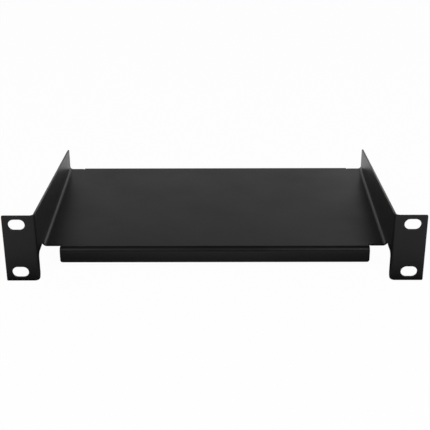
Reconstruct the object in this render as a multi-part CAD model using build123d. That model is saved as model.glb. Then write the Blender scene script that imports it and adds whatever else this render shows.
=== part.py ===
from build123d import *
from math import isclose
import os

# A one-unit cantilever shelf for a ten-inch rack, cut and folded from a single steel sheet.
# The origin is the middle of the four fixing slots, on the back of the ears where they meet the rack.
# X runs across the rack, Y goes into it and Z is up. All sizes are in millimetres.

# Rack fixing
panel_width = 254.0
unit_height = 44.45
unit_gap = 0.75
slot_inset_up = 6.35
slot_inset_across = 8.7375
slot_length = 10.0
slot_width = 6.8
slot_to_fold = 3.0
ear_corner = 0.8

# Sheet
sheet = 1.2
bend_inner = 2.0
edge_bevel = 0.25

# Tray between the side walls
overall_depth = 150.0
deck_rise = 13.85
wall_rear_height = 15.0
wall_corner = 0.6
slope_start = 1.0
slope_bend = 10.0

# Lips folded down at the front and the rear of the deck
front_lip_setback = 16.6
front_relief = 1.9
lip_inset = 10.5
lip_height = 10.0
lip_corner = 1.5
corner_relief_radius = 0.6

# Cut-out under the walls, between the ears and the deck
return_flat = 2.0
cutout_above_bend = 0.4
cutout_corner = 3.0
return_corner = 4.0

# Places that follow from the sizes above
bend_outer = bend_inner + sheet
panel_height = unit_height - unit_gap
half_width = panel_width / 2
half_height = panel_height / 2
slot_x = half_width - slot_inset_across
slot_z = unit_height / 2 - slot_inset_up
inner_x = slot_x - slot_length / 2 - slot_to_fold - bend_outer
outer_x = inner_x + sheet
lip_width = 2 * (inner_x - lip_inset)
ear_front = -sheet
rear_lip_face = ear_front + overall_depth
front_lip_face = ear_front + front_lip_setback
deck_front = front_lip_face + bend_outer + front_relief
deck_rear = rear_lip_face - bend_outer
deck_top = deck_rise - half_height
deck_under = deck_top - sheet
cutout_top = deck_top + bend_inner + cutout_above_bend
wall_rear_top = deck_top + wall_rear_height
wall_middle = (cutout_top + wall_rear_top) / 2
ear_fold_end = ear_front + bend_outer
return_rear = ear_fold_end + return_flat


def channel(span, height, reach):
    """Sheet folded twice into a U: its web lies along X and its legs rise along Y."""
    outside = Rectangle(span, height, align=(Align.CENTER, Align.MIN))
    hollow = Pos(0, sheet) * Rectangle(span - 2 * sheet, height, align=(Align.CENTER, Align.MIN))
    bar = extrude(outside - hollow, amount=reach)
    inside_folds = bar.edges().filter_by(Axis.Z).group_by(Axis.Y)[1]
    bar = fillet(inside_folds, bend_inner)
    outside_folds = bar.edges().filter_by(Axis.Z).group_by(Axis.Y)[0]
    return fillet(outside_folds, bend_outer)


def tray():
    """The deck and the lower half of both walls, ending at the deck's cut edges."""
    rear_end = Plane((0, deck_rear, deck_under), x_dir=(1, 0, 0), z_dir=(0, -1, 0))
    return rear_end * channel(2 * outer_x, wall_middle - deck_under, deck_rear - deck_front)


def lips():
    """The deck's middle with a lip folded down at the front and the rear."""
    middle = (front_lip_face + rear_lip_face) / 2
    left_end = Plane((-lip_width / 2, middle, deck_top), x_dir=(0, -1, 0), z_dir=(1, 0, 0))
    strip = left_end * channel(rear_lip_face - front_lip_face, lip_height, lip_width)
    foot_corners = strip.edges().filter_by(Axis.Y).group_by(Axis.Z)[0]
    return fillet(foot_corners, lip_corner)


def wall_outline():
    """The side view of a wall: a sloping top, and a cut-out between the ear's return and the deck."""
    corners = [
        (ear_front, -half_height),
        (return_rear, -half_height),
        (return_rear, cutout_top),
        (deck_rear, cutout_top),
        (deck_rear, wall_rear_top),
        (ear_fold_end + slope_start, half_height),
        (ear_front, half_height),
    ]
    radii = [0, return_corner, cutout_corner, 0, wall_corner, slope_bend, 0]
    return make_face(FilletPolyline(*corners, radius=radii, close=True))


def ear_slots():
    """Two oblong fixing slots, one above the other, through the ear at the left."""
    upper = Pos(-slot_x, slot_z) * SlotOverall(slot_length, slot_width)
    lower = mirror(upper, about=Plane.XZ)
    return extrude(Plane.XZ * (upper + lower), amount=sheet, both=True)


def folded_blank():
    """The left wall at its full height, with the ear folded outwards at its front."""
    ear = Pos(-half_width, ear_front) * Rectangle(half_width - inner_x, sheet, align=Align.MIN)
    wall = Pos(-outer_x, ear_front) * Rectangle(sheet, deck_rear - ear_front, align=Align.MIN)
    blank = extrude(Plane.XY.offset(-half_height) * (ear + wall), amount=panel_height)
    inside_fold = blank.edges().filter_by(Axis.Z).group_by(Axis.Y)[1].sort_by(Axis.X)[-1]
    blank = fillet(inside_fold, bend_inner)
    outside_fold = blank.edges().filter_by(Axis.Z).group_by(Axis.Y)[0].sort_by(Axis.X)[-1]
    return fillet(outside_fold, bend_outer)


def side_wall():
    """The left wall cut to its outline, with its ear's corners and slots."""
    outline = Plane.YZ.offset(-half_width) * wall_outline()
    wall = folded_blank() & extrude(outline, amount=half_width)
    ear_ends = wall.edges().filter_by(Axis.Y).group_by(Axis.X)[0]
    return fillet(ear_ends, ear_corner) - ear_slots()


def corner_reliefs():
    """Round holes where the lips' ends meet the deck's cut edges, so that the bends don't tear."""
    corners = GridLocations(lip_width, deck_rear - deck_front, 2, 2)
    holes = Sketch() + [corner * Circle(corner_relief_radius) for corner in corners]
    deck_middle = Plane((0, (deck_front + deck_rear) / 2, deck_top))
    return extrude(deck_middle * holes, amount=bend_outer, both=True)


def bevel_cut_edges(solid):
    """Break the sharp edges along the sheet's outline and slots, as deburring leaves them."""
    faces_at = {}
    for face in solid.faces():
        for edge in face.edges():
            faces_at.setdefault(edge, []).append(face)
    cut_edges = []
    for edge, (one, other) in faces_at.items():
        middle = edge.position_at(0.5)
        smooth = isclose(one.normal_at(middle).dot(other.normal_at(middle)), 1)
        through_sheet = edge.geom_type == GeomType.LINE and isclose(edge.length, sheet)
        if not smooth and not through_sheet:
            cut_edges.append(edge)
    return chamfer(cut_edges, edge_bevel)


left_wall = side_wall()
cut_sheet = tray() + lips() + left_wall + mirror(left_wall, about=Plane.YZ) - corner_reliefs()
shelf = bevel_cut_edges(cut_sheet)

os.makedirs("parts", exist_ok=True)
export_step(shelf, "parts/shelf.step")
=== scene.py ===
# A folded steel rack shelf in a fine-textured black powder coat, on a white studio floor.
# Lengths are in metres, the lens in millimetres, angles in degrees and light in Blender's own units.
from math import pi, radians

import bmesh
import bpy
from mathutils import Euler, Matrix, Vector


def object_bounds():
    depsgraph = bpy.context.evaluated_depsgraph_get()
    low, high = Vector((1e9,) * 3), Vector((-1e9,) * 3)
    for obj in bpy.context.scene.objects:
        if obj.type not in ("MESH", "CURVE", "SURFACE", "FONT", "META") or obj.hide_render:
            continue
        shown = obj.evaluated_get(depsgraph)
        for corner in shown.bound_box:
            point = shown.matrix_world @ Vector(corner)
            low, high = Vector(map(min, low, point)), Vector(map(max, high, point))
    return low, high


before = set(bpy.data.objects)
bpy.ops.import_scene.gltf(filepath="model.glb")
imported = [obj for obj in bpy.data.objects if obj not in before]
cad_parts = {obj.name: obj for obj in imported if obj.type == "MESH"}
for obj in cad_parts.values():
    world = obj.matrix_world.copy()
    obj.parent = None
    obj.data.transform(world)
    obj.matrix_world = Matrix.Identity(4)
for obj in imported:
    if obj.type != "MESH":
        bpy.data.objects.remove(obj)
cad_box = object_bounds()
foot_level = cad_box[0].z

# Camera: it looks down at a point on the deck
aim_point = Vector((0.0, 0.0641, -0.008))
camera_distance = 0.667
camera_elevation = 24.9
camera_azimuth = 0.35
camera_roll = -0.25
camera_lens = 84.0

# Powder coat
coat_colour = (0.0042, 0.0040, 0.0041)
coat_colour_spread = 0.16
coat_specular = 0.26
coat_roughness = 0.38
coat_roughness_spread = 0.22
cloud_size = 0.04
cloud_detail = 4
peel_size = 0.0016
peel_detail = 2
peel_height = 0.000006
grain_size = 0.00028
grain_detail = 1
grain_height = 0.0000035
noise_middle = 0.5

# Floor
floor_size = 12.0
floor_colour = (0.86, 0.86, 0.86, 1.0)
floor_glow = 0.97
# Painted shadow: ambient occlusion darkens the floor's glow in reflections, over this reach and to this
# power
shadow_reach = 0.08
shadow_depth = 8.0

# Room: a sine is how far a direction points up, or to the rear
sky_tint = (1.0, 0.96, 0.98, 1.0)
sky_low = 1.0
sky_high = 0.06
sky_low_sine = 0.15
sky_high_sine = 0.57
sky_front = 0.05
sky_rear = 1.0
sky_front_sine = -0.8
sky_side_sine = -0.1

# Lamps, all at one distance from the aim point
lamp_distance = 1.5
lamps = {
    "rear_right": {"azimuth": 150, "elevation": 20, "width": 1.0, "height": 0.6, "brightness": 0.3},
    "front_left": {"azimuth": -36, "elevation": 42, "width": 0.4, "height": 0.4, "brightness": 12.0},
    "front_right": {"azimuth": 36, "elevation": 42, "width": 0.4, "height": 0.4, "brightness": 17.0},
    "side_left": {"azimuth": -100, "elevation": 42, "width": 1.0, "height": 0.8, "brightness": 1.2},
    "side_right": {"azimuth": 100, "elevation": 42, "width": 1.0, "height": 0.8, "brightness": 1.2},
}


class Socket:
    """A node's output that takes part in Python arithmetic. Without an output it starts a node tree."""

    def __init__(self, tree, output=None):
        self.tree = tree
        self.output = output

    def node(self, kind, inputs, settings=None, output=0):
        """Add a node, give it its settings and then its inputs, and return one of its outputs."""
        made = self.tree.nodes.new(kind)
        for name, setting in (settings or {}).items():
            setattr(made, name, setting)
        for name, given in inputs.items():
            if isinstance(given, Socket):
                self.tree.links.new(given.output, made.inputs[name])
            else:
                made.inputs[name].default_value = given
        return Socket(self.tree, made.outputs[output] if made.outputs else None)

    def maths(self, operation, first, second):
        """Add a Math node on two numbers or sockets."""
        return self.node("ShaderNodeMath", {0: first, 1: second}, {"operation": operation})

    def __add__(self, other):
        return self.maths("ADD", self, other)

    __radd__ = __add__

    def __sub__(self, other):
        return self.maths("SUBTRACT", self, other)

    def __rsub__(self, other):
        return self.maths("SUBTRACT", other, self)

    def __mul__(self, other):
        return self.maths("MULTIPLY", self, other)

    __rmul__ = __mul__

    def __pow__(self, other):
        return self.maths("POWER", self, other)

    def __rpow__(self, other):
        return self.maths("POWER", other, self)


def new_material(name):
    """A material with no nodes yet, and the start of its tree."""
    material = bpy.data.materials.new(name)
    material.use_nodes = True
    material.node_tree.nodes.clear()
    return material, Socket(material.node_tree)


def powder_coat():
    """Black baked powder: a softly clouded colour and gloss, orange peel and a fine grain."""
    material, tree = new_material("powder_coat")
    place = tree.node("ShaderNodeTexCoord", {}, output="Object")

    def noise(size, detail):
        return tree.node("ShaderNodeTexNoise", {"Vector": place, "Scale": 1 / size, "Detail": detail})

    clouds = noise(cloud_size, cloud_detail)
    peel = noise(peel_size, peel_detail)
    grain = noise(grain_size, grain_detail)
    uneven = (clouds - noise_middle) + (grain - noise_middle)
    shade = 1 + coat_colour_spread * uneven
    colour = tree.node("ShaderNodeVectorMath", {0: coat_colour, "Scale": shade}, {"operation": "SCALE"})
    relief = peel_height * peel + grain_height * grain
    bump = tree.node("ShaderNodeBump", {"Height": relief, "Strength": 1, "Distance": 1})
    coat = tree.node("ShaderNodeBsdfPrincipled", {
        "Base Color": colour,
        "Roughness": coat_roughness + coat_roughness_spread * uneven,
        "Specular IOR Level": coat_specular,
        "Normal": bump,
    })
    tree.node("ShaderNodeOutputMaterial", {"Surface": coat})
    return material


def rays_that_see_the_studio(tree):
    """Two masks: 1 for rays from the camera, and 1 for rays from gloss or through clear things."""
    kinds = ("Is Camera Ray", "Is Glossy Ray", "Is Transmission Ray")
    camera, gloss, clear = [tree.node("ShaderNodeLightPath", {}, output=kind) for kind in kinds]
    return camera, gloss + clear


def white_floor():
    """A white floor, clear from below. Its real shadow is faint to the camera; in reflections its glow
    carries a painted shadow, darkened by ambient occlusion under and near the shelf.
    """
    material, tree = new_material("studio_white")
    matt = tree.node("ShaderNodeBsdfDiffuse", {"Color": floor_colour})
    camera, mirrored = rays_that_see_the_studio(tree)
    open_air = tree.node("ShaderNodeAmbientOcclusion", {"Distance": shadow_reach}, output="AO")
    # Glow strength: 1 to the camera; in reflections it is darkened by ambient occlusion, a painted shadow
    # under and near the shelf
    white = camera + mirrored * open_air ** shadow_depth
    glow = tree.node("ShaderNodeEmission", {"Color": (1, 1, 1, 1), "Strength": white})
    top = tree.node("ShaderNodeMixShader", {"Fac": floor_glow * (camera + mirrored), 1: matt, 2: glow})
    clear = tree.node("ShaderNodeBsdfTransparent", {})
    under = tree.node("ShaderNodeNewGeometry", {}, output="Backfacing")
    both_sides = tree.node("ShaderNodeMixShader", {"Fac": under, 1: top, 2: clear})
    tree.node("ShaderNodeOutputMaterial", {"Surface": both_sides})
    return material


def lay_floor():
    """A wide floor at the level of the ears' lower ends."""
    mesh = bpy.data.meshes.new("floor")
    sheet = bmesh.new()
    bmesh.ops.create_grid(sheet, size=floor_size / 2)
    bmesh.ops.translate(sheet, verts=sheet.verts, vec=(0, 0, foot_level))
    sheet.to_mesh(mesh)
    sheet.free()
    mesh.materials.append(white_floor())
    floor = bpy.data.objects.new("floor", mesh)
    bpy.context.collection.objects.link(floor)


def light_room():
    """A room that is white at the horizon behind and beside the shelf, and dim overhead and in front."""
    world = bpy.data.worlds.new("studio")
    world.use_nodes = True
    world.node_tree.nodes.clear()
    bpy.context.scene.world = world
    tree = Socket(world.node_tree)
    direction = tree.node("ShaderNodeTexCoord", {}, output="Generated")

    def blend(axis, start, end, first, last):
        along = tree.node("ShaderNodeSeparateXYZ", {"Vector": direction}, output=axis)
        ends = {"From Min": start, "From Max": end, "To Min": first, "To Max": last}
        smooth = {"interpolation_type": "SMOOTHSTEP"}
        return tree.node("ShaderNodeMapRange", {"Value": along} | ends, smooth)

    by_height = blend("Z", sky_low_sine, sky_high_sine, sky_low, sky_high)
    by_depth = blend("Y", sky_front_sine, sky_side_sine, sky_front, sky_rear)
    sky = tree.node("ShaderNodeBackground", {"Color": sky_tint, "Strength": by_height * by_depth})
    tree.node("ShaderNodeOutputWorld", {"Surface": sky})


def from_aim_point(azimuth, elevation, distance):
    """A place at this distance from the aim point. Azimuth 0 is in front of the shelf, 90 at its right."""
    turn = Euler((radians(-elevation), 0, radians(azimuth)))
    back = Vector((0, -distance, 0))
    back.rotate(turn)
    return aim_point + back


def hang_lamp(name, azimuth, elevation, width, height, brightness):
    """A soft rectangular lamp that faces the shelf."""
    lamp = bpy.data.lights.new(name, "AREA")
    lamp.shape = "RECTANGLE"
    lamp.size = width
    lamp.size_y = height
    lamp.energy = brightness * pi * width * height
    holder = bpy.data.objects.new(name, lamp)
    holder.location = from_aim_point(azimuth, elevation, lamp_distance)
    holder.rotation_euler = (aim_point - holder.location).to_track_quat("-Z", "Y").to_euler()
    bpy.context.collection.objects.link(holder)


def place_camera():
    """The camera of the picture, level but for a slight roll."""
    lens = bpy.data.cameras.new("camera")
    lens.lens = camera_lens
    camera = bpy.data.objects.new("camera", lens)
    stand = from_aim_point(camera_azimuth, camera_elevation, camera_distance)
    turn = Euler((radians(90 - camera_elevation), 0, radians(camera_azimuth)))
    roll = Matrix.Rotation(radians(camera_roll), 4, "Z")
    camera.matrix_world = Matrix.Translation(stand) @ turn.to_matrix().to_4x4() @ roll
    bpy.context.collection.objects.link(camera)
    bpy.context.scene.camera = camera


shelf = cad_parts["shelf"]
shelf.material_slots[0].material = powder_coat()
lay_floor()
light_room()
for name, lamp in lamps.items():
    hang_lamp(name, **lamp)
place_camera()
bpy.context.scene.view_settings.view_transform = "Standard"
